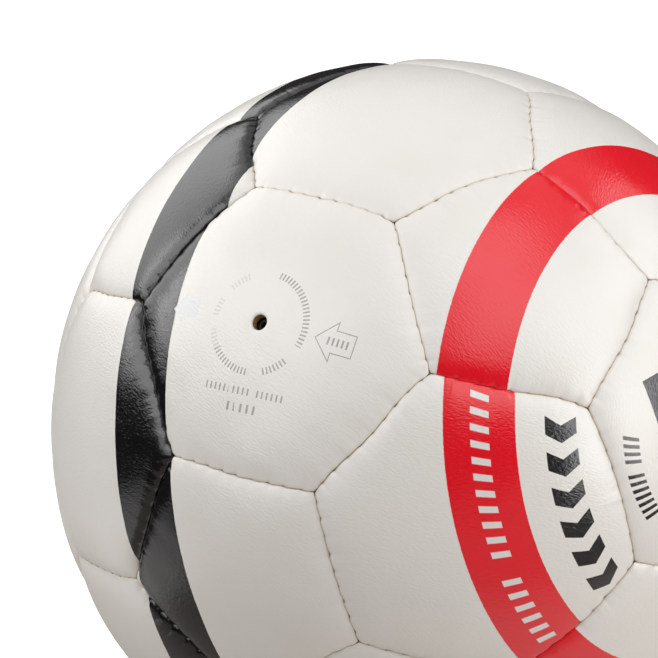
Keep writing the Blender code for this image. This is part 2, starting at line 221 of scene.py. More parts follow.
class Seam:
    """One of the ninety seams, with its own unevenness. s runs along it in mm, 0 at its middle."""

    def __init__(self, number, start, end):
        rng = np.random.default_rng(SEAM_SEED + number)
        self.start, self.end = start, end
        self.middle = unit(start + end)
        self.along = unit(end - start)
        self.left = np.cross(self.middle, self.along)
        self.length = BALL_RADIUS * math.acos(float(start @ end))
        self.sway = rng.normal(0, SEAM_SWAY)
        self.step = STITCH_STEP * rng.choice((-1, 1)) * rng.uniform(0.5, 1.2)
        self.pull = rng.uniform(*PULL, STITCHES + 2)
        places = (np.arange(STITCHES + 2) - (STITCHES + 1) / 2) * STITCH_PITCH
        self.places = places + rng.uniform(-STITCH_JITTER, STITCH_JITTER, STITCHES + 2)
        self.wave_starts = rng.uniform(0, 2 * math.pi, len(WAVE_LENGTHS))
        self.strays = stray(start), stray(end)
        from_band = math.degrees(math.acos(self.middle[0])) - (BLACK_BAND[0] + BLACK_BAND[1]) / 2
        self.deep = DEEP_FALL if abs(from_band) < DEEP_BAND else 0.0

    def astray(self, s):
        """The shift at s, in mm, that the seam's two corners ask for."""
        t = np.clip(s / self.length + 0.5, 0, 1)[:, None]
        return self.strays[0] * (1 - t) + self.strays[1] * t

    def fade(self, s):
        """1 along the seam, falling to 0 at its two corners."""
        return smooth((self.length / 2 - np.abs(s)) / SEAM_END_FADE)

    def phase(self, s):
        """Distance to the nearest stitch as a part of the pitch, and that stitch's number."""
        count = np.interp(s, self.places, np.arange(STITCHES + 2))
        number = np.round(count).astype(int)
        return count - number, number

    def pinch(self, s):
        """How strongly the nearest stitch pulls here, about 1 at a stitch."""
        phase, number = self.phase(s)
        inside = (number > 0) & (number <= STITCHES)
        return np.exp(-((phase / STITCH_WIDTH) ** 2)) * self.pull[number] * inside

    def lateral(self, s):
        """How far the seam line lies to the left of the straight way between its corners."""
        t = s / self.length + 0.5
        sway = sum(size * np.sin((k + 1) * math.pi * t) for k, size in enumerate(self.sway))
        phase, number = self.phase(s)
        saw = (np.tanh(phase / STEP_WIDTH) - 2 * phase) * self.pull[number]
        return (sway + self.step * saw) * self.fade(s)

    def half_gap(self, s):
        phase, number = self.phase(s)
        opening = np.clip(1 - np.abs(phase - STEP_GAP_PLACE) / STEP_GAP_WIDTH, 0, 1)
        return HALF_GAP + STEP_GAP * opening * self.pull[number] * self.fade(s)

    def shoulder_wave(self, s):
        """A slow unevenness of the shoulder along the seam."""
        waves = zip(WAVE_LENGTHS, self.wave_starts)
        return sum(np.sin(2 * math.pi * s / length + start) for length, start in waves) / len(WAVE_LENGTHS)

    def direction(self, s):
        """The point on the seam's line at s, with its sway, as a direction."""
        angle = s / BALL_RADIUS
        straight = np.outer(np.cos(angle), self.middle) + np.outer(np.sin(angle), self.along)
        shift = np.outer(self.lateral(s), self.left) + self.astray(s)
        return unit(straight + shift / BALL_RADIUS)


def stray(corner):
    """How far a corner lies from its regular place, in mm."""
    for place, shift in STRAY_CORNERS:
        if same(place, corner):
            return np.array(shift)
    return np.zeros(3)


class Side:
    """One side of a panel: its seam, the way into the panel, and which way the seam's left points."""

    def __init__(self, seam, panel_middle):
        self.seam = seam
        self.sign = 1.0 if seam.left @ panel_middle > 0 else -1.0
        self.inward = seam.left * self.sign

    def place(self, directions):
        """Distance from the seam and place along it, in mm, of each direction."""
        away = BALL_RADIUS * np.arcsin(np.clip(directions @ self.inward, -1, 1))
        along = np.arctan2(directions @ self.seam.along, directions @ self.seam.middle)
        return away, BALL_RADIUS * along


class Panel:
    """A panel's place on the ball and the shape of its outer surface."""

    def __init__(self, name, number, middle, corners, seams):
        rng = np.random.default_rng(PANEL_SEED + number)
        self.name, self.number, self.middle = name, number, middle
        self.count = len(corners)
        towards = np.array([1.0, 0, 0]) if abs(middle[0]) < 0.99 else np.array([0, 0, 1.0])
        self.across = unit(towards - middle * (middle @ towards))
        self.upward = np.cross(middle, self.across)
        order = np.argsort(np.arctan2(corners @ self.upward, corners @ self.across))
        self.corners = corners[order]
        self.flat_corners = self.corners / (self.corners @ middle)[:, None] - middle
        self.apothem = math.atan(np.linalg.norm((self.flat_corners[0] + self.flat_corners[1]) / 2))
        ends = [(self.corners[i], self.corners[(i + 1) % self.count]) for i in range(self.count)]
        self.sides = [Side(find_seam(seams, a, b), middle) for a, b in ends]
        self.lip_rise = VALVE_LIP_RISE if name == "valve_panel" else 0.0
        self.print_turn = rng.normal(0, math.radians(PRINT_SHIFT), 3)
        if same(SLIPPED_PANEL, middle):
            self.print_turn = self.upward * -math.radians(PRINT_SLIP)
        self.grain_angle = math.radians(GRAIN_ANGLE) + rng.normal(0, math.radians(GRAIN_SPREAD))
        self.swells = rng.normal(0, 1, (len(SWELLS), 3)) * 2 * math.pi / np.array(SWELLS)[:, None]
        self.swell_starts = rng.uniform(0, 2 * math.pi, len(SWELLS))

    def ring(self, inset, steps):
        """Directions round the panel at one distance from its edge."""
        shrunk = math.tan(self.apothem - inset / BALL_RADIUS) / math.tan(self.apothem)
        corners = self.flat_corners * shrunk + self.middle
        following = np.roll(corners, -1, axis=0)
        part = (np.arange(steps) / steps)[None, :, None]
        points = corners[:, None, :] * (1 - part) + following[:, None, :] * part
        return unit(points.reshape(-1, 3))

    def flat(self, directions):
        """Central projection on the plane that touches the panel's middle, in mm."""
        onto = directions / (directions @ self.middle)[:, None]
        return BALL_RADIUS * (onto @ self.across), BALL_RADIUS * (onto @ self.upward)

    def depth(self, directions):
        """Depth of the outer surface below the ball's radius, in mm."""
        total = np.zeros(len(directions))
        dents = np.zeros(len(directions))
        for side in self.sides:
            away, along = side.place(directions)
            wave = side.seam.shoulder_wave(along) * side.seam.fade(along)
            fall = LIP_FALL * np.exp(-away / LIP_REACH) + CROWN_FALL * np.exp(-away / CROWN_REACH)
            fall += (SHOULDER_FALL + SHOULDER_WAVE * wave) * np.exp(-away / SHOULDER_REACH)
            fall += side.seam.deep * side.seam.fade(along) * np.exp(-away / DEEP_REACH)
            fall -= self.lip_rise * side.seam.fade(along) * np.exp(-away / VALVE_LIP_REACH)
            total += fall**CORNER_BLEND
            dents += STITCH_DENT * side.seam.pinch(along) * np.exp(-away / STITCH_DENT_REACH)
        place = directions * BALL_RADIUS
        swell = sum(np.sin(place @ wave + start) for wave, start in zip(self.swells, self.swell_starts))
        return total ** (1 / CORNER_BLEND) + dents + UNEVENNESS * swell / 2

    def drawn_in(self, directions):
        """The directions moved to where the gap, the sway of the seams and cut corners put them."""
        shift = np.zeros_like(directions)
        strays, weights = np.zeros_like(directions), np.zeros(len(directions))
        nearest_side = np.full(len(directions), np.inf)
        for side in self.sides:
            away, along = side.place(directions)
            nearest_side = np.minimum(nearest_side, away)
            weight = np.exp(-away / STRAY_BLEND)
            strays += side.seam.astray(along) * weight[:, None]
            weights += weight
            gap = side.seam.half_gap(along) * np.exp(-away / GAP_REACH)
            sway = side.sign * side.seam.lateral(along) * np.exp(-away / SWAY_REACH)
            shift += (gap + sway)[:, None] * side.inward
        nearest = np.arccos(np.clip((directions @ self.corners.T).max(axis=1), -1, 1)) * BALL_RADIUS
        inwards = unit(self.middle - directions * (directions @ self.middle)[:, None] + 1e-9)
        shift += (CORNER_CUT * np.exp(-((nearest / CORNER_CUT_REACH) ** 2)))[:, None] * inwards
        shift += strays * (np.exp(-np.maximum(nearest_side, 0) / STRAY_REACH) / weights)[:, None]
        return unit(directions + shift / BALL_RADIUS)

    def seam_place(self, directions):
        """For the material: distance to the nearest seam, place along it, and how creased it may be."""
        places = [side.place(directions) for side in self.sides]
        away = np.array([place[0] for place in places])
        along = np.array([place[1] for place in places])
        nearest = np.argsort(away, axis=0)
        first = np.take_along_axis(away, nearest[:1], 0)[0]
        second = np.take_along_axis(away, nearest[1:2], 0)[0]
        s = np.take_along_axis(along, nearest[:1], 0)[0]
        return np.stack([first, s, smooth((second - first) / CREASE_CORNER)], axis=1)


def find_seam(seams, a, b):
    """The seam between two corners, whichever is its start."""
    ends = ((a, b), (b, a))
    return next(seam for seam in seams if any(same(p, seam.start) and same(q, seam.end) for p, q in ends))


def make_seams(corners):
    """Seams between neighbouring corners. The corners' order decides which end is the start."""
    order = np.lexsort(np.round(corners.T, 4))
    corners = corners[order]
    seams = []
    for a in range(len(corners)):
        for b in range(a + 1, len(corners)):
            if corners[a] @ corners[b] > 0.9:  # 23 degrees apart, others 37 or more
                seams.append(Seam(len(seams), corners[a], corners[b]))
    return seams


def make_panels():
    """A Panel for each CAD panel node, matched to the pattern by where its box is."""
    hexagons, pentagons, corners = panel_pattern()
    middles = np.concatenate([hexagons, pentagons])
    seams = make_seams(corners)
    panels = []
    nodes = sorted(name for name in frame["nodes"] if "panel" in name)
    for number, name in enumerate(nodes):
        low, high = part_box(name)
        centre = np.array((low + high) / 2)
        middle = middles[np.argmax(middles @ centre)]
        sides = 5 if name.startswith("pentagon") else 6
        nearest = np.argsort(-(corners @ middle))[:sides]
        panels.append(Panel(name, number, middle, corners[nearest], seams))
    return panels, seams


# ---------------- meshes


class Chain:
    """A closed skin made of rings of points, each joined to the next by faces."""

    def __init__(self):
        self.points, self.faces, self.kinds, self.directions = [], [], [], []
        self.last, self.total = None, 0

    def tip(self, point, kind):
        """A single point that starts or ends the chain."""
        self.points.append(np.array([point]))
        index, self.total = self.total, self.total + 1
        if self.last is not None:
            start, count = self.last
            self.add([(start + i, start + (i + 1) % count, index) for i in range(count)], kind)
        self.last = (index, 1)

    def ring(self, points, kind):
        """The next ring, with as many points as the one before it, or twice or half as many."""
        self.points.append(points)
        start, count = self.total, len(points)
        self.total += count
        if self.last is not None:
            self.join(self.last, (start, count), kind)
        self.last = (start, count)

    def lay(self, directions, depth, kind, moved=None):
        """A ring at a depth in the ball. The material reads it at the directions, even where it is moved."""
        self.directions.append(directions)
        place = directions if moved is None else moved
        self.ring(place * np.reshape(BALL_RADIUS - depth, (-1, 1)), kind)

    def lay_tip(self, direction, depth, kind):
        self.directions.append(direction[None])
        self.tip(direction * (BALL_RADIUS - depth), kind)

    def tube(self, centre, radius, sides, across):
        """A closed tube along the points, apart from what is already in the chain."""
        tangent = unit(np.gradient(centre, axis=0))
        side = unit(across - tangent * (tangent @ across)[:, None])
        up = np.cross(tangent, side)
        turns = 2 * math.pi * np.arange(sides) / sides
        self.last = None
        self.tip(centre[0] - tangent[0] * radius, 0)
        for place, x, y in zip(centre, side, up):
            self.ring(place + radius * (np.outer(np.cos(turns), x) + np.outer(np.sin(turns), y)), 0)
        self.tip(centre[-1] + tangent[-1] * radius, 0)

    def join(self, lower, upper, kind):
        (a, many), (b, count) = lower, upper
        if many == 1:
            self.add([(b + (i + 1) % count, b + i, a) for i in range(count)], kind)
        elif many == count:
            steps = [(i, (i + 1) % count) for i in range(count)]
            self.add([(a + i, a + j, b + j, b + i) for i, j in steps], kind)
        else:
            half = min(many, count)
            fine, coarse, order = (a, b, 1) if many > count else (b, a, -1)
            for i in range(half):
                low, high = coarse + i, coarse + (i + 1) % half
                first, middle, last = fine + 2 * i, fine + 2 * i + 1, fine + (2 * i + 2) % (2 * half)
                faces = [(first, middle, low), (middle, last, high), (middle, high, low)]
                self.add([face[::order] for face in faces], kind)

    def add(self, faces, kind):
        self.faces += faces
        self.kinds += [kind] * len(faces)


def new_object(name, points, faces, materials, kinds=None, sharp_angle=50):
    """A smooth-shaded mesh object, from points in mm, in the row frame."""
    mesh = bpy.data.meshes.new(name)
    mesh.from_pydata((np.asarray(points) * MM).tolist(), [], faces)
    for material in materials:
        mesh.materials.append(material)
    if kinds is not None:
        mesh.polygons.foreach_set("material_index", np.array(kinds, np.int32))
    mesh.shade_smooth()
    mesh.set_sharp_from_angle(angle=math.radians(sharp_angle))
    obj = bpy.data.objects.new(name, mesh)
    bpy.context.scene.collection.objects.link(obj)
    return obj


def store(obj, name, values):
    """A vector for each point of the mesh, for the materials to read."""
    attribute = obj.data.attributes.new(name, "FLOAT_VECTOR", "POINT")
    attribute.data.foreach_set("vector", np.asarray(values, np.float32).ravel())


def fill_in(obj, body, slot, *nodes):
    """Put a piece in the place of its CAD nodes."""
    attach(obj, body)
    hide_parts(*nodes)


COVER, BACKING, LAMINATE = 0, 1, 2  # a panel's material slots


def panel_object(panel, materials, hole=None):
    """One panel: grained cover with turned-in edges, textile back, and the valve hole if it has one."""
    chain, steps = Chain(), EDGE_POINTS
    if hole is None:
        chain.lay_tip(panel.middle, PANEL_THICKNESS, BACKING)
        back_rings = INNER_RINGS
    else:
        first = panel.ring(*HOLE_RING)
        chain.lay(hole.circle(first, HOLE_RADIUS), PANEL_THICKNESS, BACKING)
        chain.lay(hole.circle(first, HOLE_RADIUS + HOLE_BACK), PANEL_THICKNESS + 0.05, BACKING)
        back_rings = INNER_RINGS[:2]
    for inset, count in back_rings[::-1]:
        rise = math.exp(-(inset - FLANGE_WIDTH) / BACK_REACH)
        chain.lay(panel.ring(inset, count), PANEL_THICKNESS + (ROOT_DEPTH - PANEL_THICKNESS) * rise, BACKING)
    root = panel.ring(FLANGE_WIDTH, steps)
    chain.lay(root, ROOT_DEPTH, BACKING)
    chain.lay(root, FLANGE_DEPTH, BACKING)
    chain.lay(panel.ring(HALF_GAP, steps), FLANGE_DEPTH, BACKING)
    straight = panel.ring(0, steps)
    edge, lip_depth = panel.drawn_in(straight), panel.depth(straight)
    for inset, drop in CHANNEL[::-1]:
        chain.lay(unit(edge + panel.ring(inset, steps) - straight), lip_depth + drop, COVER)
    last_inset = panel.apothem * BALL_RADIUS - CENTRE_CLEARANCE if hole is None else HOLE_RING[0]
    for inset, count in [(inset, count) for count, insets in OUTER_RINGS for inset in insets]:
        if inset > last_inset:
            break
        ring = panel.ring(inset, count)
        chain.lay(ring, panel.depth(ring), COVER, panel.drawn_in(ring))
    if hole is None:
        chain.lay_tip(panel.middle, panel.depth(panel.middle[None])[0], COVER)
    else:
        hole.finish(panel, chain, ring)
    points = np.concatenate(chain.points)
    obj = new_object(panel.name + "_cover", points, chain.faces, materials, chain.kinds)
    describe(obj, panel, np.concatenate(chain.directions), unit(points))
    fill_in(obj, BODY, "cover", panel.name)


def describe(obj, panel, directions, places):
    """The attributes that the cover's material reads: print, grain and seam."""
    turn = np.array(Quaternion(Vector(panel.print_turn)).to_matrix())
    store(obj, "print", places @ turn.T)
    x, y = panel.flat(directions)
    cos, sin = math.cos(panel.grain_angle), math.sin(panel.grain_angle)
    lengthwise, crosswise = x * cos + y * sin, y * cos - x * sin
    number = np.full(len(x), GRAIN_JUMP * panel.number)
    store(obj, "grain", np.stack([lengthwise, crosswise, number], axis=1))
    store(obj, "seam", panel.seam_place(directions))


class ValveHole:
    """The round hole through the valve's panel, about the valve's own axis."""

    def __init__(self):
        joint = next(j for j in frame["joints"] if j["child"] == CORE_BODY)
        self.axis = unit(np.array(joint["axis"]))

    def circle(self, towards, radius):
        """Directions of a circle round the axis, one point towards each given direction."""
        outward = unit(towards - np.outer(towards @ self.axis, self.axis))
        return unit(self.axis * BALL_RADIUS + outward * radius)

    def finish(self, panel, chain, edge):
        """From the last whole ring in to the rim, over the rounded rim and down the hole's wall."""
        start = self.circle(edge, HOLE_FIELD)
        for part in HOLE_BLEND:
            ring = unit(edge * (1 - part) + start * part)
            chain.lay(ring, panel.depth(ring), COVER)
        for radius in HOLE_FIELD_RADII:
            ring = self.circle(edge, radius)
            sink = HOLE_SINK * math.exp(-(radius - HOLE_RADIUS) / HOLE_SINK_REACH)
            chain.lay(ring, panel.depth(ring) + sink, COVER)
        for turn in np.linspace(0.25, 1, RIM_STEPS) * math.pi / 2:
            ring = self.circle(edge, HOLE_RADIUS + RIM_RADIUS * (1 - math.sin(turn)))
            chain.lay(ring, panel.depth(ring) + HOLE_SINK + RIM_RADIUS * (1 - math.cos(turn)), COVER)
        for depth, extra in HOLE_WALL:
            chain.lay(self.circle(edge, HOLE_RADIUS + extra), depth, LAMINATE)
        chain.join(chain.last, (0, len(edge)), LAMINATE)


def thread_object(name, seams, material):
    """Two strands of waxed thread in each seam, crossing at every stitch, under the lips."""
    chain, marks = Chain(), []
    for seam in seams:
        s = np.linspace(-1, 1, STITCHES * THREAD_STEPS_PER_STITCH + 1) * (seam.length / 2 - THREAD_END)
        phase, _ = seam.phase(s)
        pinch = np.exp(-((phase / THREAD_PINCH) ** 2)) * seam.fade(s)
        lips = LIP_FALL + SHOULDER_FALL + CROWN_FALL + seam.deep * seam.fade(s) + STITCH_DENT * seam.pinch(s)
        depth = lips + THREAD_LOW + (THREAD_HIGH - THREAD_LOW) * pinch
        for strand in (-1, 1):
            swing = strand * THREAD_SWING * np.sin(2 * math.pi * phase)
            direction = unit(seam.direction(s) + np.outer(swing / BALL_RADIUS, seam.left))
            chain.tube(direction * (BALL_RADIUS - depth)[:, None], THREAD_RADIUS, THREAD_SIDES, seam.left)
            along = np.concatenate([s[:1], np.repeat(s, THREAD_SIDES), s[-1:]])
            around = np.concatenate([[0], np.tile(np.arange(THREAD_SIDES), len(s)), [0]])
            marks.append(np.stack([along, around / THREAD_SIDES, np.full(len(along), strand)], axis=1))
    obj = new_object(name, np.concatenate(chain.points), chain.faces, [material])
    store(obj, "strand", np.concatenate(marks))
    return obj


def thread_nodes(seams):
    """Which seams each CAD thread closes, told by whose points lie nearest to a third of the way."""
    clouds = {}
    for name in sorted(n for n in frame["nodes"] if n.endswith("thread")):
        points = np.array([vertex.co for vertex in frame["nodes"][name].data.vertices])
        clouds[name] = unit(points)
    groups = {name: [] for name in clouds}
    for seam in seams:
        third = unit(2 * seam.start + seam.end)
        nearest = max(clouds, key=lambda name: float((clouds[name] @ third).max()))
        groups[nearest].append(seam)
    return groups


def lay_threads(seams):
    material = thread_material()
    for node, own_seams in thread_nodes(seams).items():
        fill_in(thread_object(node + "_strands", own_seams, material), BODY, "thread", node)


# ---------------- turned pieces


def measure(node, axis):
    """Lowest and highest place of a CAD node along an axis and its greatest radius round it, in mm."""
    points = np.array([vertex.co for vertex in frame["nodes"][node].data.vertices]) / MM
    heights = points @ axis
    radii = np.linalg.norm(points - np.outer(heights, axis), axis=1)
    return float(heights.min()), float(heights.max()), float(radii.max())


def rounded(outline, radius, steps=3):
    """A closed outline with its corners rounded, apart from those on the axis."""
    points = []
    for i, corner in enumerate(outline):
        before = np.array(outline[i - 1]) - corner
        after = np.array(outline[(i + 1) % len(outline)]) - corner
        cut = min(radius, 0.45 * np.linalg.norm(before), 0.45 * np.linalg.norm(after))
        if corner[0] == 0 or cut < 1e-6:
            points.append(tuple(corner))
            continue
        start = corner + unit(before) * cut
        end = corner + unit(after) * cut
        for part in np.linspace(0, 1, steps + 1):
            curve = start * (1 - part) ** 2 + 2 * np.array(corner) * part * (1 - part) + end * part**2
            points.append(tuple(curve))
    return points


def turn_piece(node, name, outline, axis, material, slot, body=BODY, sides=72):
    """A CAD node's piece, turned about an axis through the ball's centre from (radius, height) points in mm.

    The outline runs counter-clockwise, with the radius to the right and the height up. It is closed, or
    begins and ends on the axis.
    """
    side = unit(np.cross(axis, (0.0, 0.0, 1.0)))
    front = np.cross(axis, side)
    turns = 2 * math.pi * np.arange(sides) / sides
    around = np.outer(np.cos(turns), side) + np.outer(np.sin(turns), front)
    chain = Chain()
    for radius, height in outline:
        if radius == 0:
            chain.tip(axis * height, 0)
        else:
            chain.ring(around * radius + axis * height, 0)
    if outline[0][0] > 0:
        chain.join(chain.last, (0, sides), 0)
    piece = new_object(name, np.concatenate(chain.points), chain.faces, [material], sharp_angle=35)
    fill_in(piece, body, slot, node)


# Sizes of the turned pieces that the CAD boxes don't give, in mm
BLADDER_THICKNESS = 0.8
BLADDER_HOLE = 4.0
LINING_THICKNESS = 3.0
LINING_HOLE = 7.0
SHELL_STEPS = 40
COLLAR_RADIUS, STEM_RADIUS, STEM_TIP_RADIUS = 5.5, 3.5, 2.5
BORE_RADIUS, AIR_HOLE_RADIUS = 1.9, 0.7
DISC_THICKNESS, DISC_BELOW_COLLAR = 1.2, 3.1
STEM_TAPER = 4.0
BORE_LENGTH = 20.8
CORE_RADIUS, CORE_HEAD_HEIGHT, CORE_TIP_RADIUS, CORE_TAPER = 1.5, 1.6, 0.9, 3.0
DIMPLE_RADIUS, DIMPLE_DEPTH = 0.8, 3.5
CORE_STEP, DIMPLE_LIP = 0.3, 0.15
DISC_BEVEL = 2.0
PATCH_HOLE, PATCH_THICKNESS = 6.2, 0.6
HOUSING_EDGE, BALANCE_EDGE, CORE_EDGE, PATCH_EDGE = 0.35, 0.5, 0.25, 0.15  # how far edges are rounded


def shell_outline(outer, inner, hole):
    """The outline of a hollow ball with a round hole at the top."""
    points = []
    for radius, direction in ((outer, 1), (inner, -1)):
        top = math.asin(hole / radius)
        angles = [math.pi + (top - math.pi) * step / SHELL_STEPS for step in range(SHELL_STEPS + 1)]
        for angle in angles[::direction]:
            around = 0 if angle == math.pi else radius * math.sin(angle)
            points.append((around, radius * math.cos(angle)))
    return points


def build_bladder(axis):
    _, _, outer = measure("bladder", axis)
    outline = shell_outline(outer, outer - BLADDER_THICKNESS, BLADDER_HOLE)
    turn_piece("bladder", "bladder_skin", outline, axis, rubber_material("butyl", BLADDER_BLACK), "bladder")


def build_lining(axis):
    _, _, outer = measure("damping_lining", axis)
    outline = shell_outline(outer, outer - LINING_THICKNESS, LINING_HOLE)
    turn_piece("damping_lining", "damping_felt", outline, axis, felt_material(), "lining")


def build_housing(axis):
    """The valve's seat: disc, collar up to the panel, stem inwards. Opposite it, a patch for balance."""
    bottom, top, outer = measure("valve_housing", axis)
    disc_top = top - DISC_BELOW_COLLAR
    disc_bottom = disc_top - DISC_THICKNESS
    bore_bottom = top - BORE_LENGTH
    outline = [
        (AIR_HOLE_RADIUS, bottom),
        (STEM_TIP_RADIUS, bottom),
        (STEM_RADIUS, bottom + STEM_TAPER),
        (STEM_RADIUS, disc_bottom),
        (outer, disc_bottom),
        (outer, disc_top - DISC_THICKNESS / 3),
        (outer - DISC_BEVEL, disc_top),
        (COLLAR_RADIUS, disc_top),
        (COLLAR_RADIUS, top),
        (BORE_RADIUS, top),
        (BORE_RADIUS, bore_bottom + BORE_RADIUS - AIR_HOLE_RADIUS),
        (AIR_HOLE_RADIUS, bore_bottom),
    ]
    rubber = rubber_material("valve_rubber", VALVE_BLACK)
    outline = rounded(outline, HOUSING_EDGE)
    turn_piece("valve_housing", "valve_housing_moulded", outline, axis, rubber, "valve_rubber")
    low, high, radius = measure("balance_patch", -axis)
    outline = rounded([(0, low), (radius, low), (radius, high), (0, high)], BALANCE_EDGE)
    turn_piece("balance_patch", "balance_patch_moulded", outline, -axis, rubber, "valve_rubber")


def build_core(axis):
    """The plug that pulls out, with its dimple for the needle."""
    bottom, top, head = measure("valve_core", axis)
    neck = top - CORE_HEAD_HEIGHT
    outline = [
        (0, bottom),
        (CORE_TIP_RADIUS, bottom),
        (CORE_RADIUS, bottom + CORE_TAPER),
        (CORE_RADIUS, neck - CORE_STEP),
        (head, neck),
        (head, top),
        (DIMPLE_RADIUS + DIMPLE_LIP, top),
        (DIMPLE_RADIUS, top - CORE_STEP),
        (DIMPLE_RADIUS / 2, top - DIMPLE_DEPTH / 2),
        (0, top - DIMPLE_DEPTH),
    ]
    rubber = rubber_material("core", CORE_DARK)
    outline = rounded(outline, CORE_EDGE)
    turn_piece("valve_core", "valve_core_plug", outline, axis, rubber, "valve_core", CORE_BODY)


def build_patch(axis):
    """The cloth ring glued under the cover round the valve."""
    low, high, outer = measure("valve_patch", axis)
    under = [(PATCH_HOLE, high - PATCH_THICKNESS), (outer, low)]
    over = [(outer, low + PATCH_THICKNESS), (PATCH_HOLE, high)]
    outline = rounded(under + over, PATCH_EDGE)
    turn_piece("valve_patch", "valve_patch_cloth", outline, axis, cloth_material(), "patch")


# ---------------- shader maths


class Value:
    """An output in a node tree that can be used in sums."""

    def __init__(self, graph, socket):
        self.graph, self.socket = graph, socket

    def __add__(self, other):
        return self.graph.maths("ADD", self, other)

    __radd__ = __add__

    def __sub__(self, other):
        return self.graph.maths("SUBTRACT", self, other)

    def __mul__(self, other):
        return self.graph.maths("MULTIPLY", self, other)

    __rmul__ = __mul__

    def __truediv__(self, other):
        return self.graph.maths("DIVIDE", self, other)

    def __abs__(self):
        return self.graph.maths("ABSOLUTE", self)


class Graph:
    """A node tree that is written as sums."""

    def __init__(self, tree):
        self.tree = tree

    def feed(self, socket, value):
        if isinstance(value, Value):
            self.tree.links.new(value.socket, socket)
        else:
            socket.default_value = value

    def node(self, kind, inputs, output=0, **settings):
        """One output of a new node, whose inputs are fed by name or by number."""
        made = self.tree.nodes.new(kind)
        for key, value in settings.items():
            setattr(made, key, value)
        for key, value in inputs.items():
            self.feed(made.inputs[key], value)
        return Value(self, made.outputs[output])

    def maths(self, operation, *values):
        return self.node("ShaderNodeMath", dict(enumerate(values)), operation=operation)

    def attribute(self, name):
        return self.node("ShaderNodeAttribute", {}, "Vector", attribute_name=name)

    def object_place(self):
        """The place on the object in mm."""
        place = self.node("ShaderNodeTexCoord", {}, "Object")
        return self.node("ShaderNodeVectorMath", {0: place, "Scale": 1 / MM}, operation="SCALE")

    def parts(self, vector):
        first = self.node("ShaderNodeSeparateXYZ", {0: vector})
        return [Value(self, socket) for socket in first.socket.node.outputs]

    def vector(self, x, y, z=0.0):
        return self.node("ShaderNodeCombineXYZ", {0: x, 1: y, 2: z})

    def normalized(self, vector):
        return self.node("ShaderNodeVectorMath", {0: vector}, operation="NORMALIZE")

    def dot(self, vector, constant):
        inputs = {0: vector, 1: tuple(float(part) for part in constant)}
        return self.node("ShaderNodeVectorMath", inputs, "Value", operation="DOT_PRODUCT")

    def ramp(self, value, low, high):
        """0 below low, 1 above high, smooth in between."""
        inputs = {"Value": value, "From Min": low, "From Max": high}
        return self.node("ShaderNodeMapRange", inputs, "Result", interpolation_type="SMOOTHSTEP")

    def between(self, value, low, high, soft):
        return self.ramp(value, low - soft, low + soft) * self.ramp(value, high + soft, high - soft)

    def noise(self, vector, scale, detail=2.0, roughness=0.5, distortion=0.0):
        inputs = {"Vector": vector, "Scale": scale, "Detail": detail, "Roughness": roughness}
        return self.node("ShaderNodeTexNoise", {**inputs, "Distortion": distortion}, "Fac")

    def wave(self, value):
        """A sine wave from 0 to 1, one for each unit of the value."""
        return self.maths("SINE", value * (2 * math.pi)) * 0.5 + 0.5

    def mix(self, factor, *colours):
        """A mix of two colours: inputs 6 and 7 and output 2 of a mix node are its colours."""
        first, second = (colour if isinstance(colour, Value) else (*colour, 1.0) for colour in colours)
        inputs = {0: factor, 6: first, 7: second}
        return self.node("ShaderNodeMix", inputs, 2, data_type="RGBA", clamp_factor=True)

    def bump(self, height, millimetres, under=None):
        """A bump of the given height where the value is 1, on the bump under it if there is one."""
        inputs = {"Strength": 1.0, "Distance": millimetres * MM, "Height": height}
        return self.node("ShaderNodeBump", inputs if under is None else {**inputs, "Normal": under})


class MaterialGraph(Graph):
    """A material, with its principled shader."""

    def __init__(self, name):
        self.material = bpy.data.materials.new(name)
        self.material.use_nodes = True
        super().__init__(self.material.node_tree)
        self.shader = self.tree.nodes["Principled BSDF"]

    def finish(self, colour, roughness, normal, **constants):
        self.feed(self.shader.inputs["Base Color"], colour)
        self.feed(self.shader.inputs["Roughness"], roughness)
        self.feed(self.shader.inputs["Normal"], normal)
        for name, value in constants.items():
            self.shader.inputs[name.replace("_", " ")].default_value = value
        return self.material


# ---------------- materials, colours in linear light

WHITE = (0.81, 0.785, 0.745)
WHITE_WARM = (0.77, 0.735, 0.685)
# Painted shade colour for the seams: the darker, warmer tint mixed into the coating where it turns into a
# seam
SEAM_SHADE_BEIGE = (0.60, 0.49, 0.36)
RED = (0.80, 0.007, 0.018)
BLACK = (0.0025, 0.0022, 0.0025)
WHITE_INK = (0.78, 0.76, 0.74)
GREY_INK = (0.23, 0.225, 0.215)
SILVER_INK = (0.72, 0.725, 0.74)
LAMINATE_GOLD = (0.72, 0.50, 0.20)
LAMINATE_DARK = (0.12, 0.07, 0.025)
BACKING_CREAM = (0.52, 0.47, 0.37)
BACKING_SHADE = 0.6
THREAD_BROWN = (0.15, 0.105, 0.065)
THREAD_WAX = (0.34, 0.27, 0.18)
FELT_PALE, FELT_DARK = (0.60, 0.56, 0.45), (0.42, 0.39, 0.31)
PATCH_TAN, PATCH_DARK = (0.38, 0.27, 0.14), (0.24, 0.16, 0.08)
# Rubbers: colour, colour where dusty, roughness
BLADDER_BLACK = ((0.018, 0.018, 0.019), (0.05, 0.05, 0.05), 0.50)
VALVE_BLACK = ((0.012, 0.011, 0.010), (0.035, 0.032, 0.028), 0.45)
CORE_DARK = ((0.022, 0.016, 0.010), (0.05, 0.036, 0.02), 0.45)

COVER_ROUGHNESS, COVER_SPECULAR = 0.28, 0.85
INK_GLOSS = 0.14  # how much less rough print is



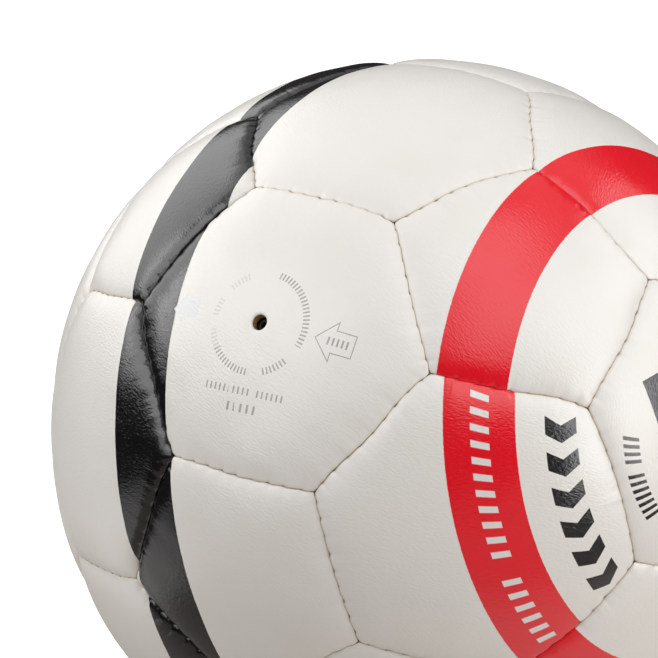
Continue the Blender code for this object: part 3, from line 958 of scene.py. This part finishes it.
def cover_material(name, marks=None, band=BLACK_BAND):
    """Coated leather-grain cover with the two red rings and the black band; marks adds a panel's print."""
    graph = MaterialGraph(name)
    direction = graph.normalized(graph.attribute("print"))
    grain = graph.attribute("grain")
    away, along, crease_room = graph.parts(graph.attribute("seam"))
    lengthwise, crosswise, panel_number = graph.parts(grain)

    # Height: long slanted wrinkles, a finer pebble in them, and creases that run in from the stitches
    drift = graph.noise(grain, 0.12, 1.0) - 0.5
    lengths = lengthwise * (1 / GRAIN_LENGTH) + drift * 1.5
    widths = crosswise * (1 / GRAIN_WIDTH) + drift * 3.0
    slanted = graph.vector(lengths, widths, panel_number)
    wrinkles = graph.noise(slanted, 1.0, 1.0, 0.45, 0.35)
    pebble = graph.noise(slanted, 2.6, 1.0, 0.5)
    crease_place = graph.vector(along * 0.9, away * 0.1, panel_number)
    creases = graph.noise(crease_place, 1.0, 1.0, 0.5)
    near_seam = graph.ramp(away, 7.0, 0.8) * crease_room
    stretched = graph.ramp(away, 0.5, 6.0) * 0.55 + 0.45
    patchy = graph.noise(grain, 0.045, 1.0) * 0.6 + 0.7
    height = graph.bump((wrinkles + pebble * 0.3) * (stretched * patchy), GRAIN_HEIGHT)
    normal = graph.bump(creases * near_seam, CREASE_HEIGHT, height)

    # Colour: white coating, a little warmer in places, painted shade that darkens it to a warm beige towards
    # the seams, then the print
    cloudy = graph.noise(grain, 0.06, 2.0)
    colour = graph.mix(graph.ramp(cloudy, 0.35, 0.8) * 0.35, WHITE, WHITE_WARM)
    # Painted shade: over the last mm at each seam the coating is mixed towards a warm beige, standing for
    # the shade and warm bounced light in the seam's groove
    painted_seam_shade = graph.ramp(away, 0.9, 0.1) * 0.2 + graph.ramp(away, 0.3, 0.05) * 0.4
    colour = graph.mix(painted_seam_shade, colour, SEAM_SHADE_BEIGE)
    x, _, _ = graph.parts(direction)
    ragged = (graph.noise(grain, 1.3, 2.0) - 0.5) * 0.12
    polar = graph.maths("ARCCOSINE", x) * (180 / math.pi) + ragged
    from_equator = abs(polar - 90)
    red = graph.between(from_equator, 90 - RED_OUTER, 90 - RED_INNER, PRINT_EDGE)
    black = graph.between(polar, *band, PRINT_EDGE)
    colour = graph.mix(red, colour, RED)
    colour = graph.mix(black, colour, BLACK)
    printed = graph.maths("MAXIMUM", red, black)
    for mask, ink in marks(graph, direction, grain) if marks else ():
        colour = graph.mix(mask, colour, ink)
        printed = graph.maths("MAXIMUM", printed, mask)

    # Finish: print is a little glossier than the coating, and both vary with handling
    handled = graph.noise(grain, 0.09, 3.0, 0.6)
    roughness = graph.ramp(handled, 0.2, 0.8) * 0.07 + COVER_ROUGHNESS - printed * INK_GLOSS
    return graph.finish(colour, roughness, normal, Specular_IOR_Level=COVER_SPECULAR)


def backing_material():
    """Woven textile glued on the panels' backs."""
    graph = MaterialGraph("cover_backing")
    x, y, _ = graph.parts(graph.attribute("grain"))
    weave = graph.wave(x * 1.6) * graph.wave(y * 1.6 + graph.maths("FLOOR", x * 1.6) * 0.5)
    fibres = graph.noise(graph.attribute("grain"), 4.0, 3.0)
    shaded = tuple(part * BACKING_SHADE for part in BACKING_CREAM)
    colour = graph.mix(weave * 0.5 + fibres * 0.4, shaded, BACKING_CREAM)
    normal = graph.bump(weave + fibres * 0.5, 0.08)
    return graph.finish(colour, fibres * 0.1 + 0.8, normal, Sheen_Weight=0.2)


def laminate_material():
    """The cut edge of the cover's layers, golden brown, seen in the valve hole."""
    graph = MaterialGraph("cover_laminate")
    place = graph.object_place()
    layers = graph.noise(place, 3.5, 3.0, 0.6)
    colour = graph.mix(graph.ramp(layers, 0.35, 0.7), LAMINATE_GOLD, LAMINATE_DARK)
    normal = graph.bump(layers, 0.08)
    return graph.finish(colour, layers * 0.15 + 0.55, normal)


def thread_material():
    """Waxed twisted thread."""
    graph = MaterialGraph("waxed_thread")
    along, around, strand = graph.parts(graph.attribute("strand"))
    twist = graph.wave(along * 1.4 + around + strand * 0.3)
    fibres = graph.noise(graph.vector(along * 2.0, around * 6.0, strand * 5.0), 2.0, 3.0)
    colour = graph.mix(twist * 0.6 + fibres * 0.4, THREAD_BROWN, THREAD_WAX)
    normal = graph.bump(twist + fibres * 0.5, 0.05)
    return graph.finish(colour, fibres * 0.2 + 0.5, normal, Sheen_Weight=0.15)


def rubber_material(name, rubber):
    """Moulded rubber with faint flow marks and dust."""
    graph = MaterialGraph(name)
    dark, dusty, roughness = rubber
    place = graph.object_place()
    dust = graph.noise(place, 0.35, 4.0, 0.65)
    flow = graph.noise(place, 1.1, 2.0, 0.5, 0.8)
    colour = graph.mix(graph.ramp(dust, 0.45, 0.75), dark, dusty)
    normal = graph.bump(flow + dust * 0.5, 0.05)
    return graph.finish(colour, dust * 0.2 + (roughness - 0.1), normal)


def felt_material():
    """Soft felt, matted fibres."""
    graph = MaterialGraph("damping_felt")
    place = graph.object_place()
    fibres = graph.noise(place, 1.6, 5.0, 0.7, 1.2)
    lumps = graph.noise(place, 0.15, 2.0)
    colour = graph.mix(fibres * 0.6 + lumps * 0.4, FELT_DARK, FELT_PALE)
    normal = graph.bump(fibres + lumps, 0.25)
    return graph.finish(colour, fibres * 0.08 + 0.88, normal, Sheen_Weight=0.4)


def cloth_material():
    """A plain-woven cloth tape."""
    graph = MaterialGraph("patch_cloth")
    x, y, z = graph.parts(graph.object_place())
    weave = graph.wave(x * 1.8 + z) * graph.wave(y * 1.8 - z)
    fibres = graph.noise(graph.object_place(), 3.0, 3.0)
    colour = graph.mix(weave * 0.6 + fibres * 0.4, PATCH_DARK, PATCH_TAN)
    normal = graph.bump(weave + fibres * 0.4, 0.08)
    return graph.finish(colour, fibres * 0.1 + 0.78, normal, Sheen_Weight=0.25)


# ---------------- print that one panel carries: plain marks

# Round the valve, in mm on the panel or in degrees round the valve
TICK_RING = (11.55, 13.25)
TICK_PITCH = 4.5
STRONG_TICKS = ((-25, 75), (-76, -45), (-150, -93))
FAINT_TICKS = ((-170, -150), (114, 138), (153, 174))
ARROW_LENGTH, ARROW_HEAD_LENGTH, ARROW_HEAD_HALF, ARROW_SHAFT_HALF = 10.3, 4.9, 5.0, 2.85
ARROW_OVERLAP = 1.5  # how far the shaft reaches into the head
IN_ARROW_TIP, IN_ARROW_TURN = 15.5, -8.9  # the outlined arrow that points at the valve
ARROW_LINE = (-0.14, 0.12)
LEGEND_START, LEGEND_END = 18.4, 24.6
FAINT_ARROW_TIP, FAINT_ARROW_SIZE = (-26.6, 2.9), 0.82
SCALE_LEAN = 0.12
SCALES = (  # the span across, the spans along, and bars in a mm
    ((-18.2, -16.4), ((-12.9, -5.4), (-4.4, 0.2), (1.6, 9.6)), 0.75),
    ((-22.6, -20.4), ((-6.7, -3.4), (-2.2, 3.0)), 0.55),
)

# Round the ring axis, in degrees from it or round it
RUNG_PITCH, RUNG_LEAN, RUNG_START = 3.4, 0.4, 14.3
RUNG_HALF = 1.3
RUNG_GROUPS = ((0, 11), (12, 18))
CHEVRON_PITCH, CHEVRON_LEAN, CHEVRON_START = 9.4, 1.1, 25.0
CHEVRON_MIDDLE, CHEVRON_HALF = 29.6, 2.38
CHEVRONS = 6
BAR_PITCH, BAR_LEAN, BAR_START = 3.6, 0.7, 7.0
BAR_SPAN = (16.1, 18.7)
BAR_GROUPS = ((0, 4), (5, 12))

# The square at +X, in mm, and degrees round the ring axis to one of its corners
EMBLEM_HALF, EMBLEM_HOLE = 28.9, 10.0
EMBLEM_TURN = 134


def bars(graph, position, share, soft):
    """A row of bars, one for each unit of the position, each as wide as the given share of it."""
    part = graph.maths("FRACT", position)
    return graph.between(part, 0.5 - share / 2, 0.5 + share / 2, soft)


def windows(graph, value, spans, soft):
    """1 where the value lies in any of the spans."""
    total = 0.0
    for low, high in spans:
        total = graph.between(value, low, high, soft) + total
    return total


def turned(x, y, degrees):
    """The place x, y seen in axes that are turned counter-clockwise."""
    cos, sin = math.cos(math.radians(degrees)), math.sin(math.radians(degrees))
    return x * cos + y * sin, y * cos - x * sin


def arrow(graph, x, y, tip, size=1.0):
    """Distance, in parts of the size, outside the outline of a plain arrow that points to the left."""
    along = (x - tip[0]) * (1 / size)
    off = abs(y - tip[1]) * (1 / size)
    slope = ARROW_HEAD_HALF / ARROW_HEAD_LENGTH
    edge = (off - along * slope) * (1 / math.hypot(1, slope))
    head = graph.maths("MAXIMUM", edge, along - ARROW_HEAD_LENGTH)
    middle = (ARROW_HEAD_LENGTH - ARROW_OVERLAP + ARROW_LENGTH) / 2
    half = ARROW_LENGTH - middle
    shaft = graph.maths("MAXIMUM", abs(along - middle) - half, off - ARROW_SHAFT_HALF)
    return graph.maths("MINIMUM", head, shaft)


def valve_marks(panel, axis):
    """Round the valve: a ring of ticks, an arrow that points at it, a faint one outside, and two scales."""
    across, upward = (way - axis * (axis @ way) for way in (panel.across, panel.upward))

    def paint(graph, direction, grain):
        depth = graph.dot(direction, axis)
        x = graph.dot(direction, across) / depth * BALL_RADIUS
        y = graph.dot(direction, upward) / depth * BALL_RADIUS
        radius = graph.maths("SQRT", x * x + y * y)
        angle = graph.maths("ARCTAN2", y, x) * (180 / math.pi)
        ring = graph.between(radius, *TICK_RING, 0.06) * bars(graph, angle * (1 / TICK_PITCH), 0.42, 0.05)
        strong = windows(graph, angle, STRONG_TICKS, 0.3)
        faint = windows(graph, angle, FAINT_TICKS, 0.3) * 0.35
        out, over = turned(x, y, IN_ARROW_TURN)
        lines = graph.between(arrow(graph, out, over, (IN_ARROW_TIP, 0)), *ARROW_LINE, 0.05)
        legend = graph.between(over, -1, 1, 0.06) * graph.between(out, LEGEND_START, LEGEND_END, 0.1)
        legend = legend * bars(graph, (out - LEGEND_START) * 0.8, 0.4, 0.06)
        grey = ring * (strong + faint) + lines + legend
        for (low, high), spans, rate in SCALES:
            row = graph.between(y + x * SCALE_LEAN, low, high, 0.06) * windows(graph, x, spans, 0.1)
            grey = grey + row * bars(graph, (x - y * SCALE_LEAN) * rate, 0.33, 0.06)
        worn = graph.noise(grain, 2.5, 2.0) * 0.5 + 0.55
        silver = graph.ramp(arrow(graph, x, y, FAINT_ARROW_TIP, FAINT_ARROW_SIZE), 0.1, -0.1)
        return [(silver * 0.9, SILVER_INK), (graph.maths("MINIMUM", grey, 1.0) * worn, GREY_INK)]

    return paint


def ring_place(graph, direction):
    """Degrees from the ring axis, and degrees round it from the middle of the hexagon that carries print."""
    x, y, z = graph.parts(direction)
    polar = graph.maths("ARCCOSINE", x) * (180 / math.pi)
    around = graph.maths("ARCTAN2", z * -1, y * -1) * (180 / math.pi)
    return polar, around


def ring_marks(graph, direction, grain):
    """On a hexagon of the red ring: white rungs along the ring, and a row of bold black chevrons."""
    polar, around = ring_place(graph, direction)
    from_ring_middle = abs(polar - (RED_INNER + RED_OUTER) / 2)
    row = graph.ramp(from_ring_middle, RUNG_HALF + 0.04, RUNG_HALF - 0.04)
    rung = (around + polar * RUNG_LEAN + RUNG_START) * (1 / RUNG_PITCH)
    white = row * windows(graph, rung, RUNG_GROUPS, 0.03) * bars(graph, rung, 0.42, 0.04)
    off = abs(polar - CHEVRON_MIDDLE)
    chevron = (around + off * CHEVRON_LEAN + CHEVRON_START) * (1 / CHEVRON_PITCH)
    bold = graph.ramp(off, CHEVRON_HALF + 0.04, CHEVRON_HALF - 0.04) * bars(graph, chevron, 0.52, 0.01)
    bold = bold * graph.between(chevron, 0, CHEVRONS, 0.01)
    worn = graph.noise(grain, 3.0, 2.0) * 0.25 + 0.92
    return [(white, WHITE_INK), (graph.maths("MINIMUM", bold * worn, 1.0), BLACK)]


def emblem_marks(graph, direction, grain):
    """On the hexagon at +X: a plain square with a round hole, and two short rows of bars."""
    x, y, z = graph.parts(direction)
    u, v = (part / x * BALL_RADIUS for part in turned(y, z, EMBLEM_TURN))
    square = graph.ramp(abs(u) + abs(v), EMBLEM_HALF + 0.1, EMBLEM_HALF - 0.1)
    radius = graph.maths("SQRT", u * u + v * v)
    square = square * graph.ramp(radius, EMBLEM_HOLE - 0.1, EMBLEM_HOLE + 0.1)
    polar, around = ring_place(graph, direction)
    bar = (around + polar * BAR_LEAN + BAR_START) * (1 / BAR_PITCH)
    row = graph.between(polar, *BAR_SPAN, 0.08) * windows(graph, bar, BAR_GROUPS, 0.03)
    return [(graph.maths("MINIMUM", square + row * bars(graph, bar, 0.5, 0.03), 1.0), BLACK)]


def lay_cover(panels, hole):
    """Every panel, with the print that its place on the ball asks for."""
    backing, laminate = backing_material(), laminate_material()
    plain = cover_material("cover_grain")
    wide = cover_material("cover_wide_band", band=WIDE_BAND)
    ringed = cover_material("cover_ring_print", ring_marks)
    emblem = cover_material("cover_emblem_print", emblem_marks)
    for panel in panels:
        cover, own_hole = plain, None
        if panel.name == "valve_panel":
            cover = cover_material("cover_valve_print", valve_marks(panel, hole.axis), VALVE_BAND)
            own_hole = hole
        elif same((1, 0, 0), panel.middle):
            cover = emblem
        elif same(SLIPPED_PANEL, panel.middle):
            cover = ringed
        elif same(WIDE_BAND_PANEL, panel.middle):
            cover = wide
        panel_object(panel, [cover, backing, laminate], own_hole)


# ---------------- camera, light and floor

FORWARD = Vector((-0.69208, 0.67650, -0.25174))  # the way the camera looks, and its upward way
UPWARD = Vector((0.02341, 0.36961, 0.92889))
CAMERA_DEPTH, BALL_RIGHT, BALL_BELOW = 7.68, 0.245, 0.268  # in ball radii
LENS, CLIP_END = 154.66, 20  # mm, m
STUDIO_DISTANCE = 1.0
WATTS_PER_RADIANCE = 4  # for a square metre of light
SOFTBOXES = {  # azimuth and elevation from the camera, width and height, all in degrees, and radiance
    "key_left": (-63, 28, 70, 30, 1.62),
    "key_right": (25, 37.5, 32, 52, 0.85),
    "front_left_low": (-45, 0, 26, 20, 1.2),
    "side_right": (60, 25, 32, 26, 2.0),
    "side_right_low": (60, 0, 32, 26, 2.9),
    "far_right": (95, 36, 30, 26, 1.4),
    "side_left": (-123, 36, 54, 42, 1.05),
    "side_left_table": (-104, -24, 44, 20, 0.4),
    "top_left": (-90, 65, 50, 26, 0.4),
}
STUDIO_WARMTH = (1.04, 0.95, 0.88)  # of the light from the table and the lower walls
STUDIO_LOW = ((0, 0.36), (0.13, 0.36), (0.20, 0.15), (0.41, 0.17), (0.45, 0.02))  # height and level
STUDIO_HIGH = ((0.72, 0.02), (0.78, 0.24), (1, 0.27))
STUDIO_STRENGTH = 2
FLOOR_HALF = 4.0


def place_camera():
    """The camera of the photograph. Returns its rotation as a matrix."""
    forward = FORWARD.normalized()
    right = forward.cross(UPWARD).normalized()
    up = right.cross(forward)
    rotation = Matrix((right, up, -forward)).transposed()
    data = bpy.data.cameras.new("camera")
    data.lens = LENS
    data.clip_end = CLIP_END
    camera = bpy.data.objects.new("camera", data)
    bpy.context.scene.collection.objects.link(camera)
    radius = BALL_RADIUS * MM
    camera.location = (up * BALL_BELOW - right * BALL_RIGHT - forward * CAMERA_DEPTH) * radius
    camera.rotation_euler = rotation.to_euler()
    bpy.context.scene.camera = camera
    return rotation


def softbox(name, camera_rotation, azimuth, elevation, width, height, radiance):
    """A soft light seen from the ball at the given angles from the camera, with the given angular size."""
    a, e = math.radians(azimuth), math.radians(elevation)
    towards = Vector((math.cos(e) * math.sin(a), math.sin(e), math.cos(e) * math.cos(a)))
    direction = camera_rotation @ towards
    data = bpy.data.lights.new(name, "AREA")
    data.shape = "RECTANGLE"
    data.size = 2 * STUDIO_DISTANCE * math.tan(math.radians(width / 2))
    data.size_y = 2 * STUDIO_DISTANCE * math.tan(math.radians(height / 2))
    data.energy = WATTS_PER_RADIANCE * data.size * data.size_y * radiance
    light = bpy.data.objects.new(name, data)
    light.location = direction * STUDIO_DISTANCE
    side = camera_rotation.col[1].cross(direction).normalized()
    light.rotation_euler = Matrix((side, direction.cross(side), direction)).transposed().to_euler()
    light.visible_camera = False
    bpy.context.scene.collection.objects.link(light)


def light_surroundings():
    """A white backdrop for the camera; for everything else a dark studio over a bright table."""
    world = bpy.data.worlds.new("studio")
    world.use_nodes = True
    bpy.context.scene.world = world
    graph = Graph(world.node_tree)
    graph.tree.nodes.remove(graph.tree.nodes["Background"])
    _, _, height = graph.parts(graph.node("ShaderNodeTexCoord", {}, "Generated"))
    levels = graph.node("ShaderNodeValToRGB", {"Fac": height * 0.5 + 0.5}, "Color")
    warm = [(part, np.array(STUDIO_WARMTH) * level) for part, level in STUDIO_LOW]
    neutral = [(part, np.full(3, level)) for part, level in STUDIO_HIGH]
    stops = levels.socket.node.color_ramp.elements
    stops[0].color = (*warm[0][1], 1)
    stops[1].color = (*neutral[-1][1], 1)
    for part, colour in warm[1:] + neutral[:-1]:
        stops.new(part).color = (*colour, 1)
    room = graph.node("ShaderNodeBackground", {"Color": levels, "Strength": STUDIO_STRENGTH})
    white = graph.node("ShaderNodeBackground", {"Color": (1, 1, 1, 1)})
    to_camera = graph.node("ShaderNodeLightPath", {}, "Is Camera Ray")
    mixed = graph.node("ShaderNodeMixShader", {0: to_camera, 1: room, 2: white})
    graph.feed(graph.tree.nodes["World Output"].inputs["Surface"], mixed)


def lay_floor():
    """A plain pale floor under the ball."""
    mesh = bpy.data.meshes.new("floor")
    corners = [(x * FLOOR_HALF, y * FLOOR_HALF, 0) for x, y in ((-1, -1), (1, -1), (1, 1), (-1, 1))]
    mesh.from_pydata(corners, [], [(0, 1, 2, 3)])
    graph = MaterialGraph("floor_paper")
    tone = graph.noise(graph.object_place(), 0.004, 2.0) * 0.02 + 0.48
    colour = graph.vector(tone, tone, tone)
    mesh.materials.append(graph.finish(colour, 0.9, graph.bump(tone, 0.01), Specular_IOR_Level=0.0))
    graph.shader.inputs["Emission Color"].default_value = (1, 1, 1, 1)
    graph.shader.inputs["Emission Strength"].default_value = 0.95
    floor = bpy.data.objects.new("floor", mesh)
    floor.location = (0, 0, CAD_BOX[0].z)
    bpy.context.scene.collection.objects.link(floor)
    floor.visible_diffuse = False
    floor.visible_glossy = False
    floor.visible_shadow = False


def build():
    panels, seams = make_panels()
    hole = ValveHole()
    lay_cover(panels, hole)
    lay_threads(seams)
    for build_piece in (build_bladder, build_lining, build_housing, build_core, build_patch):
        build_piece(hole.axis)
    camera_rotation = place_camera()
    for name, placing in SOFTBOXES.items():
        softbox(name, camera_rotation, *placing)
    light_surroundings()
    lay_floor()
    bpy.context.scene.view_settings.view_transform = "Standard"


build()
